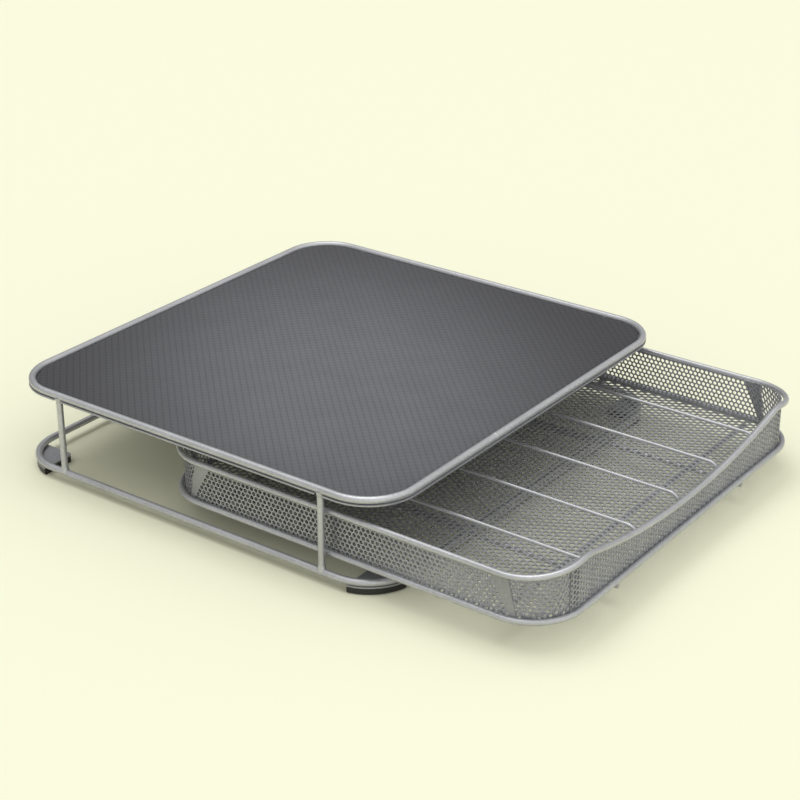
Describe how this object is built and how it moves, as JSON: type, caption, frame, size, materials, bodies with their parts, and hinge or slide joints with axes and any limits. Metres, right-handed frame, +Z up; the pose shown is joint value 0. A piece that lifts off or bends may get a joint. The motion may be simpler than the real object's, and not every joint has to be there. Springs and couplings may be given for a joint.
{
  "type": "coffee capsule rack",
  "caption": "Low wire stand with a matted deck for a coffee machine and a sliding mesh drawer under it, parted into channels for capsules.",
  "frame": {"origin": "on the worktop, in the middle of the rectangle between the four feet of the stand", "axes": "+X to the right seen from the front, +Y to the back, +Z up; the drawer pulls out along -Y and is drawn open, as in the picture"},
  "size_m": [0.3513, 0.4466, 0.07],
  "materials": {
    "wire": "satin silver-grey powder coat on steel wire",
    "divider": "satin silver-grey powder coat on thin steel wire",
    "mesh": "satin grey powder coat on perforated steel",
    "sheet": "satin grey powder coat on sheet steel",
    "mat": "matt grey grip mat with a fine raised diamond texture",
    "foot": "moulded black plastic"
  },
  "bodies": {
    "stand": {"top_ring": "wire", "deck_sheet": "sheet", "deck_mat": "mat", "base_ring": "wire", "post_front_left": "wire", "post_front_right": "wire", "post_rear_left": "wire", "post_rear_right": "wire", "corner_plate_front_left": "sheet", "corner_plate_front_right": "sheet", "corner_plate_rear_left": "sheet", "corner_plate_rear_right": "sheet", "foot_front_left": "foot", "foot_front_right": "foot", "foot_rear_left": "foot", "foot_rear_right": "foot", "slide_rail_left": "wire", "slide_rail_right": "wire"},
    "drawer": {"drawer_upper_rim": "wire", "drawer_lower_rim": "wire", "runner_left": "wire", "runner_right": "wire", "cross_wire_front": "wire", "cross_wire_rear": "wire", "mesh_front": "mesh", "mesh_rear": "mesh", "mesh_left": "mesh", "mesh_right": "mesh", "mesh_floor": "mesh", "divider_1": "divider", "divider_2": "divider", "divider_3": "divider", "divider_4": "divider", "divider_5": "divider"}
  },
  "joints": [
    {"name": "drawer_slide", "type": "slide", "parent": "stand", "child": "drawer", "axis": [0, -1, 0], "range_m": [-0.12, 0.035]}
  ]
}
